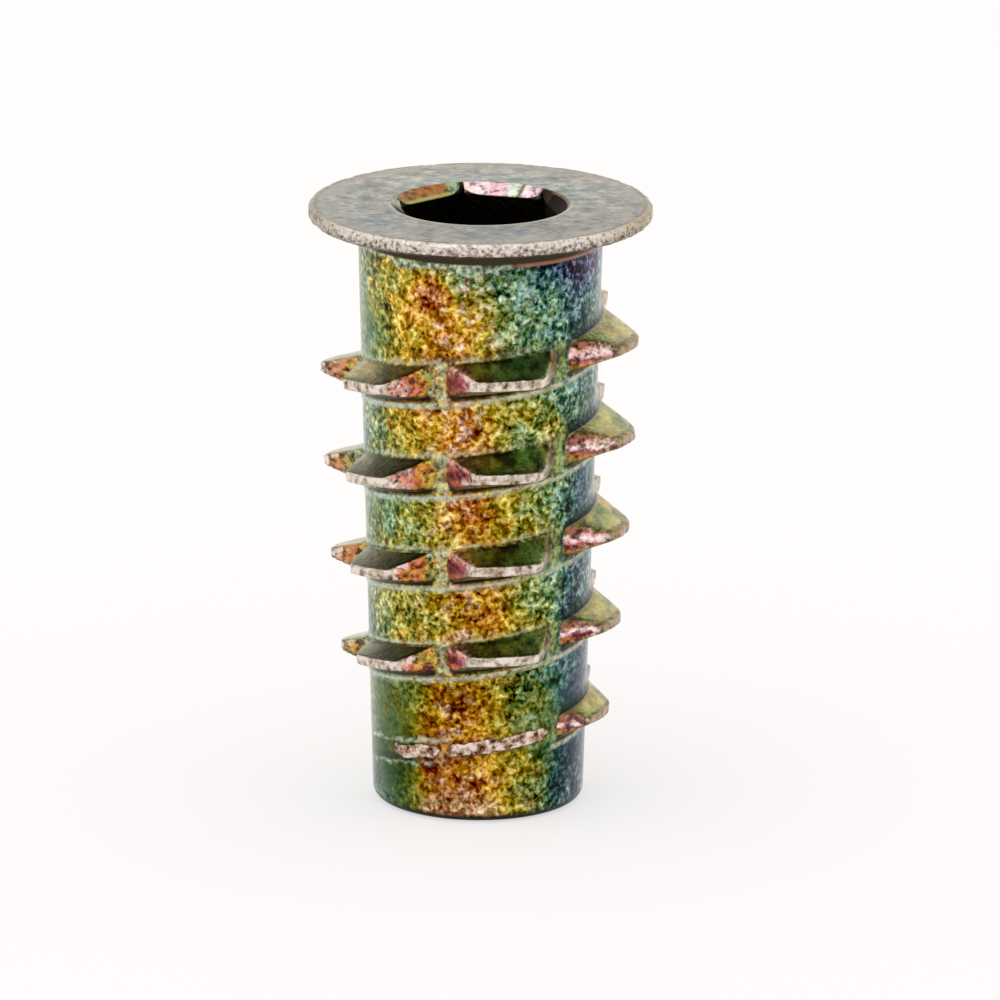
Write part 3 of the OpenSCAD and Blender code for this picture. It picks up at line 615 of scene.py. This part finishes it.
# the section of a fin, worked out on every point of the sheet
woodSizes = dict(woodThread)
woodSizes.update({
    "Foot Radius": body["footRadius"],
    "Draft": draft,
    "Low Edge": body["footRounding"],
    "High Edge": neckTop - body["neckFillet"],
})
finRule = [
    # which turn, and how far above the middle of its fins; rows crowd towards the fin
    ("turn", "ROUND", "climb"),
    ("rowShare", "SUBTRACT", "climb", "turn"),
    ("rowPlace", "MULTIPLY_ADD", ("SINE", ("MULTIPLY", "rowShare", math.tau)), -0.8 / math.tau, "rowShare"),
    ("fromHelix", "MULTIPLY", "rowPlace", "Pitch"),
    ("above", "SUBTRACT", "fromHelix", "Root Shift"),
    # which fin, counted up the helix, and the angle from its middle
    ("turnSoFar", "ADD", "turnShare", "turn"),
    ("finPlace", "MULTIPLY_ADD", "turnSoFar", "Fins Per Turn", 1.0),
    ("fin", "ROUND", "finPlace"),
    ("finStep", "DIVIDE", math.tau, "Fins Per Turn"),
    ("finAngle", "MULTIPLY", ("SUBTRACT", "finPlace", "fin"), "finStep"),
    ("finAngleAway", "ABSOLUTE", "finAngle"),
    ("finRise", "DIVIDE", "Pitch", "Fins Per Turn"),
    ("finHeight", "MULTIPLY_ADD", "fin", "finRise", "First Fin Height"),
    ("freeHeight", "ADD", ("MULTIPLY_ADD", "finPlace", "finRise", "First Fin Height"), "fromHelix"),
    ("raisedHeight", "MAXIMUM", "freeHeight", "Low Edge"),
    ("height", "MINIMUM", "raisedHeight", "High Edge"),
    ("rootRadius", "MULTIPLY_ADD", "finHeight", "Draft", "Foot Radius"),
    # is there a fin here, and is it one that sheared off
    ("belowLast", "LESS_THAN", "fin", ("SUBTRACT", "Fin Count", 0.5)),
    ("finHere", "MULTIPLY", ("GREATER_THAN", "fin", -0.5), "belowLast"),
    ("whole", "GREATER_THAN", "fin", ("SUBTRACT", "Sheared Fins", 0.5)),
    ("isSheared", "SUBTRACT", 1.0, "whole"),
    ("isLowest", "LESS_THAN", "fin", 0.5),
    # crumbly outline of the broken fins and of the pads, features about 0.4 mm
    ("spot", "JOIN", ("SINE", "bearing"), ("COSINE", "bearing"), ("DIVIDE", "freeHeight", "Foot Radius")),
    ("crumbleDepth", "SUBTRACT", ("NOISE", "spot", 11.0, 3.0, 0.6), 0.5),
    ("finsAbove", "SUBTRACT", "Fin Count", 1.0),
    ("taperShare", "DIVIDE", ("SUBTRACT", "finsAbove", "fin"), "finsAbove"),
    ("wholeCrest", "SUBTRACT", "Crest Radius", ("PRODUCT", "taperShare", "taperShare", "Taper")),
    ("wholeReach", "SUBTRACT", "wholeCrest", "rootRadius"),
    ("reach", "MULTIPLY_ADD", ("SUBTRACT", "wholeReach", "Sheared Height"), "whole", "Sheared Height"),
    # half widths of the fin at its crest and root
    ("flank", "RADIANS", "Flank Angle"),
    ("flankSlope", "TANGENT", "flank"),
    ("halfWhole", "MULTIPLY_ADD", "wholeReach", "flankSlope", ("MULTIPLY", "Crest Width", 0.5)),
    ("halfSheared", "MULTIPLY", "Sheared Width", 0.5),
    ("halfRoot", "MULTIPLY_ADD", ("SUBTRACT", "halfWhole", "halfSheared"), "whole", "halfSheared"),
    # the flanks, as heights over the body; the crest leans to one side of the root's middle
    ("column", "ADD", ("FLOORED_MODULO", "fin", 6.0), 0.1),
    ("lift", "PICK", "column", finColumns["crestLift"]),
    ("tiltBelow", "MINIMUM", ("DIVIDE", "finAngle", math.radians(13)), 1.6),
    ("tiltShare", "MAXIMUM", "tiltBelow", -1.6),
    ("lean", "MULTIPLY_ADD", ("PICK", "column", finColumns["crestTilt"]), "tiltShare", "lift"),
    ("sideLean", "MULTIPLY", ("SIGN", "above"), ("DIVIDE", "lean", "wholeReach")),
    ("aboveAway", "ABSOLUTE", "above"),
    ("crumbleHere", "MULTIPLY", "crumbleDepth", "isSheared"),
    ("insideRoot", "MULTIPLY_ADD", "crumbleHere", 0.4, ("SUBTRACT", "halfRoot", "aboveAway")),
    ("flankHeight", "DIVIDE", "insideRoot", ("SUBTRACT", "flankSlope", "sideLean")),
    # the slanted ends
    ("atStart", "LESS_THAN", "finAngle", 0.0),
    ("atEnd", "SUBTRACT", 1.0, "atStart"),
    ("startSlant", "PICK", "column", finColumns["startSlant"]),
    ("endSlant", "PICK", "column", finColumns["endSlant"]),
    ("slant", "RADIANS", ("MULTIPLY_ADD", "startSlant", "atStart", ("MULTIPLY", "endSlant", "atEnd"))),
    ("slantSlope", "TANGENT", "slant"),
    ("startTrim", "PICK", "column", finColumns["startTrim"]),
    ("rootShare", "DIVIDE", "aboveAway", "halfRoot"),
    ("rootShareSquare", "MULTIPLY", "rootShare", "rootShare"),
    ("bowHere", "MULTIPLY_ADD", "rootShareSquare", "End Bow", ("MULTIPLY", "startTrim", "atStart")),
    ("standBackAngle", "RADIANS", ("ADD", "bowHere", ("MULTIPLY", "Fin Gap", 0.5))),
    ("halfSpan", "SUBTRACT", ("MULTIPLY", "finStep", 0.5), "standBackAngle"),
    ("cornerReach", "MULTIPLY_ADD", ("COSINE", "halfSpan"), "slantSlope", ("SINE", "halfSpan")),
    ("hereReach", "MULTIPLY_ADD", ("COSINE", "finAngleAway"), "slantSlope", ("SINE", "finAngleAway")),
    ("endRadius", "DIVIDE", ("MULTIPLY", "cornerReach", "rootRadius"), "hereReach"),
    ("endHeight", "MULTIPLY_ADD", "crumbleHere", 0.6, ("SUBTRACT", "endRadius", "rootRadius")),
    ("startCorner", "PICK", "column", finColumns["startCorner"]),
    ("endCorner", "PICK", "column", finColumns["endCorner"]),
    ("cornerHere", "MULTIPLY_ADD", "startCorner", "atStart", ("MULTIPLY", "endCorner", "atEnd")),
    ("endTopped", "SMOOTH_MIN", "endHeight", "reach", ("MULTIPLY", "cornerHere", "whole")),
    # everything together, with rounded edges and a fillet at the root
    ("sides", "SMOOTH_MIN", "flankHeight", "endTopped", "Edge Rounding"),
    ("topped", "SMOOTH_MIN", "sides", "reach", ("MULTIPLY", "Crest Rounding", "whole")),
    # the lowest fin keeps only the half that lies towards the front
    ("lowestShare", "LEVEL", "crumbleDepth", 1.6, ("ADD", ("MULTIPLY", "finAngle", 6.0), 0.5)),
    ("keptFin", "MULTIPLY", "topped", ("MULTIPLY_ADD", ("SUBTRACT", "lowestShare", 1.0), "isLowest", 1.0)),
    ("relief", "ADD", ("MULTIPLY", "keptFin", "finHere"), ("SUBTRACT", "finHere", 1.0)),
    ("isBelow", "LESS_THAN", "above", 0.0),
    ("padWhole", "MULTIPLY_ADD", ("SUBTRACT", "Pad Below", "Pad Above"), "isBelow", "Pad Above"),
    ("padHere", "MULTIPLY_ADD", ("SUBTRACT", "padWhole", "Sheared Pad"), "whole", "Sheared Pad"),
    ("padWidth", "MULTIPLY_ADD", "crumbleDepth", 0.25, ("MULTIPLY_ADD", "isLowest", 0.16, "padHere")),
    ("padBand", "MULTIPLY", ("LEVEL", ("ADD", "insideRoot", "padWidth"), 14.0, 0.0), "finHere"),
    ("filletHere", "MULTIPLY", ("MULTIPLY_ADD", "whole", 0.8, 0.2), "Root Fillet"),
    ("lifted", "SMOOTH_MAX", "relief", ("MULTIPLY", "padBand", "Pad Height"), "filletHere"),
    ("radius", "ADD", ("MULTIPLY_ADD", "height", "Draft", "Foot Radius"), "lifted"),
    # masks for the finish
    ("reachHere", "MULTIPLY", ("DIVIDE", "keptFin", "reach"), "finHere"),
    ("finShare", "MULTIPLY", "reachHere", "whole"),
    ("brokenShare", "MULTIPLY", "reachHere", "isSheared"),
    ("endFace", "LEVEL", ("SUBTRACT", "flankHeight", "endHeight"), 12.0, 0.0),
    # pale band beside each fin, with a painted shade line between the two, wider under the fin
    ("outsideRoot", "MULTIPLY", "insideRoot", -1.0),
    ("bandShare", "LEVEL", ("SUBTRACT", "outsideRoot", ("MULTIPLY_ADD", "isBelow", 0.09, 0.04)), 14.0, 0.0),
    ("padRim", "MULTIPLY", "bandShare", "padBand"),
    ("lineEdge", "SUBTRACT", ("MULTIPLY_ADD", "isBelow", 0.1, 0.06), ("ABSOLUTE", "insideRoot")),
    ("lineOnFins", "MULTIPLY", ("LEVEL", "lineEdge", 16.0, 0.0), "finHere"),
    ("spanShare", "LEVEL", "endHeight", 8.0, 0.6),
    ("darkRoot", "MULTIPLY", ("MULTIPLY", "lineOnFins", ("MULTIPLY_ADD", "whole", 0.5, 0.5)), "spanShare"),
    ("gapAll", "MULTIPLY", ("SUBTRACT", 1.0, "spanShare"), ("LEVEL", "insideRoot", 14.0, 1.0)),
    ("gapStrip", "PRODUCT", "gapAll", "finHere", "whole"),
    # the strip of body just above each fin, painted dark as shade beside the right fins
    ("stripAbove", "MULTIPLY", ("LEVEL", "outsideRoot", -1.5, 1.0), ("SUBTRACT", 1.0, "isBelow")),
    ("shadeStrip", "PRODUCT", "stripAbove", "finHere", "spanShare"),
    # how far above the fin's middle, 0.5 there and 1 at the top of its root
    ("aboveFin", "MULTIPLY_ADD", ("DIVIDE", "above", "halfRoot"), 0.5, 0.5),
]
woodTree = helicalSkin("woodThreadSkin", woodSizes, finRule, finMasks,
                       turns=8, startTurn=-2, rows=rowsPerPitch)
outerSkin = runTree(woodTree, woodSizes)
print("wood thread skin:", len(outerSkin.vertices), "vertices,", len(outerSkin.polygons), "faces")

# the machine screw's thread: four rows to a pitch, the ends of its ridges and of its grooves
boreSizes = dict(screwThread)
boreSizes["Bore Length"] = overallLength - socket["depth"]
boreRule = [
    ("climbOver", "ADD", "climb", 0.001),  # so that rounding can't drop a row at the seam
    ("turn", "FLOOR", "climbOver"),
    ("rowShare", "SUBTRACT", "climb", "turn"),
    ("inGroove", "GREATER_THAN", "rowShare", 0.4),
    ("ridgeStart", "MULTIPLY_ADD", "inGroove", 0.3125, -0.125),
    ("rowPlace", "ADD", ("MULTIPLY", "rowShare", ("MULTIPLY_ADD", "inGroove", -0.5, 1.0)), "ridgeStart"),
    ("turnSoFar", "ADD", "turnShare", "turn"),
    ("freeHeight", "MULTIPLY", ("ADD", "turnSoFar", "rowPlace"), "Pitch"),
    ("raisedHeight", "MAXIMUM", "freeHeight", 0.0),
    ("height", "MINIMUM", "raisedHeight", "Bore Length"),
    ("grooveDepth", "SUBTRACT", "Root Radius", "Crest Radius"),
    ("threadRadius", "MULTIPLY_ADD", "inGroove", "grooveDepth", "Crest Radius"),
    ("footConeHere", "SUBTRACT", ("ADD", "Crest Radius", "Foot Bevel"), "height"),
    ("topConeHere", "SUBTRACT", "Root Radius", ("SUBTRACT", "Bore Length", "height")),
    ("radius", "MAXIMUM", ("MAXIMUM", "threadRadius", "footConeHere"), "topConeHere"),
]
boreTree = helicalSkin("screwThreadSkin", boreSizes, boreRule, [], turns=21, startTurn=-2, rows=4)
boreSkin = runTree(boreTree, boreSizes)
print("screw thread skin:", len(boreSkin.vertices), "vertices")


def addRing(mesh, columns, radius, height):
    # radius and height are numbers or functions of the bearing, counted from -Y towards +X
    ring = []
    for i in range(columns):
        bearing = math.tau * i / columns
        away = radius(bearing) if callable(radius) else radius
        up = height(bearing) if callable(height) else height
        ring.append(mesh.verts.new((away * math.sin(bearing) * mm, -away * math.cos(bearing) * mm, up * mm)))
    return ring


def addBand(mesh, lower, upper):
    # one ring may have twice as many points as the other
    few, many = sorted((lower, upper), key=len)
    double = len(many) // len(few)
    for i, corner in enumerate(few):
        following = few[(i + 1) % len(few)]
        if double == 1:
            mesh.faces.new((corner, following, many[(i + 1) % len(many)], many[i]))
        else:
            start, middle, end = (many[(2 * i + step) % len(many)] for step in range(3))
            mesh.faces.new((corner, middle, start))
            mesh.faces.new((corner, following, middle))
            mesh.faces.new((following, end, middle))


def addRings(mesh, parts):
    # each part is how many points its rings have, and their radii and heights
    rings = [addRing(mesh, columns, *ring) for columns, part in parts for ring in part]
    for lower, upper in zip(rings, rings[1:]):
        addBand(mesh, lower, upper)


def arcPoints(centreX, centreZ, radius, startAngle, endAngle, steps):
    for step in range(steps + 1):
        angle = math.radians(startAngle + (endAngle - startAngle) * step / steps)
        yield centreX + radius * math.cos(angle), centreZ + radius * math.sin(angle)


def hexRadius(bearing, apothem):
    corner = math.tau / 6
    fromCorner = (bearing - math.radians(socket["turn"])) % corner
    return apothem / math.cos(fromCorner - corner / 2)


def roughen(mesh):
    # the flange's rim, the crests and the broken fins are crumbly; material only ever falls away
    shares = mesh.verts.layers.float["finShare"]
    broken = mesh.verts.layers.float["brokenShare"]
    for vertex in mesh.verts:
        radius = math.hypot(vertex.co.x, vertex.co.y) / mm
        fin = max(vertex[shares], vertex[broken])
        crest = max(0.0, min(1.0, (fin - crumbling["crestStart"]) * crumbling["crestRise"]))
        rim = max(0.0, min(1.0, (radius - crumbling["rimStart"]) * crumbling["rimRise"]))
        if vertex.co.z <= neckTop * mm:
            rim = 0.0
        if crest + rim == 0:
            continue
        coarse = noise.noise(vertex.co * crumbling["coarseScale"])
        fine = noise.noise(vertex.co * crumbling["fineScale"] + Vector((7, 3, 5)))
        depth = crumbling["coarseDepth"] * coarse + crumbling["fineDepth"] * fine - crumbling["lift"]
        depth = min(0.0, depth)
        away = Vector((vertex.co.x, vertex.co.y, 0)).normalized()
        drop = vertex.normal * rim * crumbling["rimDrop"] * depth
        vertex.co += (away * (crest * depth + rim * depth) + drop) * mm


def buildCasting():
    mesh = bmesh.new()
    mesh.from_mesh(outerSkin)
    mesh.from_mesh(boreSkin)
    columns = body["columns"]
    bodyRadius = lambda height: body["footRadius"] + draft * height

    # neck fillet, underside, rim and top of the flange
    fillet = body["neckFillet"]
    filletX = bodyRadius(neckTop - fillet) + fillet
    rim = body["rimRounding"]
    neck = [(bodyRadius(neckTop - fillet), neckTop - fillet)]
    neck += list(arcPoints(filletX, neckTop - fillet, fillet, 180, 90, 5))[1:]
    neck += [(castingRings["neckEnd"], neckTop)]
    flange = [(x, neckTop) for x in castingRings["underside"]]
    flange += arcPoints(flangeRadius - rim, neckTop + rim, rim, -90, 0, 4)
    flange += [(flangeRadius, neckTop + rim + step * castingRings["rimStep"]) for step in (1, 2, 3)]
    flange += arcPoints(flangeRadius - rim, overallLength - rim, rim, 0, 90, 4)
    flange += [(x, overallLength) for x in castingRings["top"]]
    # mouth of the socket: a rolled lip, the bevel and the six walls
    mouth = socket["mouthRadius"]
    flats = socket["acrossFlats"] / 2
    slope = socket["bevelDepth"] / (mouth - flats)

    def bevelRadius(share):
        # from the walls of the socket, 0, to the circle of the mouth, 1
        return lambda b: (1 - share) * hexRadius(b, flats) + share * mouth

    def bevelHeight(share):
        # the lower edge runs level along the flats and climbs near the corners
        def heightAt(b):
            climb = (hexRadius(b, flats) - flats) / (flats / math.cos(math.pi / 6) - flats)
            foot = overallLength - slope * (mouth - flats) * (1 - castingRings["cornerClimb"] * climb ** 3)
            return foot + (overallLength - castingRings["lipDrop"] - foot) * share
        return heightAt

    inside = [(mouth + out, overallLength - down) for out, down in castingRings["lip"]]
    inside += [(bevelRadius(share), bevelHeight(share)) for share in castingRings["bevelShares"]]
    inside += [(bevelRadius(0), lambda b: bevelHeight(0)(b) - castingRings["wallEdge"])]
    inside += [(bevelRadius(0), z) for z in castingRings["walls"]]
    inside += [(boreSizes["Root Radius"], overallLength - socket["depth"])]
    addRings(mesh, [(columns, neck), (2 * columns, flange), (columns, inside)])

    # foot: the rounded edge and the ring that it stands on
    rounding = body["footRounding"]
    roundX = body["footRadius"] + rounding * (draft - 1)
    foot = [(bodyRadius(rounding), rounding)]
    foot += list(arcPoints(roundX, rounding, rounding, 0, -90, 6))[1:]
    foot += [(castingRings["footSeat"], 0), (screwThread["Crest Radius"] + screwThread["Foot Bevel"], 0)]
    addRings(mesh, [(columns, foot)])

    bmesh.ops.remove_doubles(mesh, verts=mesh.verts, dist=mergeGap)
    bmesh.ops.recalc_face_normals(mesh, faces=mesh.faces)
    openEdges = sum(1 for edge in mesh.edges if not edge.is_manifold)
    print("casting:", len(mesh.verts), "vertices,", sum(len(f.verts) - 2 for f in mesh.faces),
          "triangles,", openEdges, "open edges, volume", round(mesh.calc_volume() * 1e9, 1), "mm3")
    roughen(mesh)
    data = bpy.data.meshes.new("insertCasting")
    mesh.to_mesh(data)
    mesh.free()
    for face in data.polygons:
        face.use_smooth = True
    casting = bpy.data.objects.new("insertCasting", data)
    bpy.context.scene.collection.objects.link(casting)
    return casting


casting = buildCasting()
casting.data.materials.append(chromate)

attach(casting, "root")
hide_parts("insert_body")

# floor, lights and camera
stage = {
    "floorSize": 1.2,
    "floorGap": 0.01 * mm,  # keeps the floor's face apart from the foot's
    "paperGlow": 0.6,  # how far the white paper is lifted towards pure white where it is seen
    "cameraBearing": -11.4,
    "cameraElevation": 15.485,
    "cameraRoll": 0.289,
    "cameraDistance": 0.5,
    "lens": 440.6,
    "aimRight": 0.847 * mm,
    "aimHeight": 12.499 * mm,
}
scene = bpy.context.scene
scene.view_settings.view_transform = "Standard"

floorData = bpy.data.meshes.new("studioFloor")
half = stage["floorSize"] / 2
corners = [(x * half, y * half, -stage["floorGap"]) for x, y in ((-1, -1), (1, -1), (1, 1), (-1, 1))]
floorData.from_pydata(corners, [], [(0, 1, 2, 3)])
floor = bpy.data.objects.new("studioFloor", floorData)
scene.collection.objects.link(floor)
paper = bpy.data.materials.new("whitePaper")
paper.use_nodes = True
tree = paper.node_tree
tree.nodes.clear()
matt = addNode(tree, "ShaderNodeBsdfDiffuse", None, {"Color": linear("#FAF3F1")})
bright = addNode(tree, "ShaderNodeEmission", None, {"Color": (1, 1, 1, 1), "Strength": 1.0})
rays = addNode(tree, "ShaderNodeLightPath")
known = {kind: rays.outputs[f"Is {kind} Ray"] for kind in ("Camera", "Glossy", "Transmission")}
addSteps(tree, known, [
    ("mirrored", "MAXIMUM", "Glossy", "Transmission"),
    ("shown", "MAXIMUM", "Camera", "mirrored"),
    ("share", "MULTIPLY", "shown", stage["paperGlow"]),
])
lit = addNode(tree, "ShaderNodeMixShader", None, {
    0: known["share"], 1: matt.outputs["BSDF"], 2: bright.outputs["Emission"]})
addNode(tree, "ShaderNodeOutputMaterial", None, {"Surface": lit.outputs["Shader"]})
floorData.materials.append(paper)

world = bpy.data.worlds.new("studioWorld")
scene.world = world
world.use_nodes = True
world.node_tree.nodes.clear()
sky = addNode(world.node_tree, "ShaderNodeBackground", None, {"Color": (1, 1, 1, 1), "Strength": 1.0})
addNode(world.node_tree, "ShaderNodeOutputWorld", None, {"Surface": sky.outputs["Background"]})


def addSoftbox(name, place, aim, size, power):
    light = bpy.data.lights.new(name, "AREA")
    light.size = size
    light.energy = power
    lamp = bpy.data.objects.new(name, light)
    scene.collection.objects.link(lamp)
    facing = (Vector(place) - Vector(aim)).to_track_quat("Z", "Y")
    lamp.matrix_world = Matrix.Translation(place) @ facing.to_matrix().to_4x4()


# from the upper left of the camera, so that the shadow falls faintly to the right
addSoftbox("keySoftbox", (-0.2, -0.2, 0.7), (0, 0, 0.01), 0.6, 0.6)

bearing = math.radians(stage["cameraBearing"])
elevation = math.radians(stage["cameraElevation"])
right = Vector((math.cos(bearing), math.sin(bearing), 0))
outwards = Vector((math.sin(bearing), -math.cos(bearing), 0))
towards = outwards * math.cos(elevation) + Vector((0, 0, math.sin(elevation)))
target = right * stage["aimRight"] + Vector((0, 0, stage["aimHeight"]))
cameraData = bpy.data.cameras.new("camera")
cameraData.sensor_width = 36
cameraData.lens = stage["lens"]
cameraData.clip_start = 0.01
camera = bpy.data.objects.new("camera", cameraData)
scene.collection.objects.link(camera)
turn = towards.to_track_quat("Z", "Y").to_matrix().to_4x4()
camera.matrix_world = (Matrix.Translation(target + towards * stage["cameraDistance"]) @ turn
                       @ Matrix.Rotation(math.radians(stage["cameraRoll"]), 4, "Z"))
scene.camera = camera
